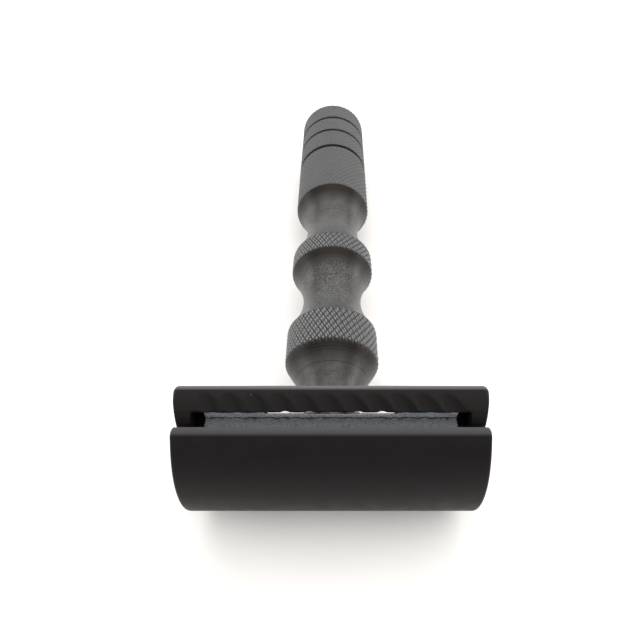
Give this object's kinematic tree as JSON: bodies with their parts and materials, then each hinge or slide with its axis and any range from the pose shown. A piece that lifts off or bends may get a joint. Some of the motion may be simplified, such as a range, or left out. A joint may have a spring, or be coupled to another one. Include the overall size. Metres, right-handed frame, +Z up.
{
  "type": "safety razor",
  "caption": "Three-piece double-edge safety razor lying on its side, with a fluted-bar head that unscrews from a knurled turned handle.",
  "frame": {"origin": "on the surface it lies on, under the middle of its bounding box", "axes": "+Z up, +Y from the head towards the tail of the handle, X along the head's length"},
  "size_m": [0.044, 0.1056, 0.0252],
  "materials": {
    "cap_coating": "smooth matte black coating",
    "plate_coating": "matte black coating",
    "handle_coating": "satin black coating over turned and knurled metal",
    "stud_steel": "machined",
    "blade_steel": "ground steel"
  },
  "bodies": {
    "handle": {"handle_body": "handle_coating", "tail_knob": "handle_coating"},
    "plate": {"base_plate": "plate_coating"},
    "blade": {"blade": "blade_steel"},
    "cap": {"top_cap": "cap_coating", "threaded_stud": "stud_steel", "locating_post_left": "stud_steel", "locating_post_right": "stud_steel"}
  },
  "joints": [
    {"name": "head_turn", "type": "hinge", "parent": "handle", "child": "plate", "pos_m": [0, -0.0472, 0.01285], "axis": [0, -0.9989, 0.0464], "range_deg": [0, 2880]},
    {"name": "cap_lift", "type": "slide", "parent": "plate", "child": "cap", "axis": [0, -0.9989, 0.0464], "range_m": [0, 0.0065]},
    {"name": "blade_lift", "type": "slide", "parent": "plate", "child": "blade", "axis": [0, -0.9989, 0.0464], "range_m": [0, 0.0033]}
  ],
  "couplings": [
    {"joint": "cap_lift", "follows": "head_turn", "m_per_rad": 0.00012732},
    {"joint": "blade_lift", "follows": "head_turn", "m_per_rad": 0.000063662}
  ]
}
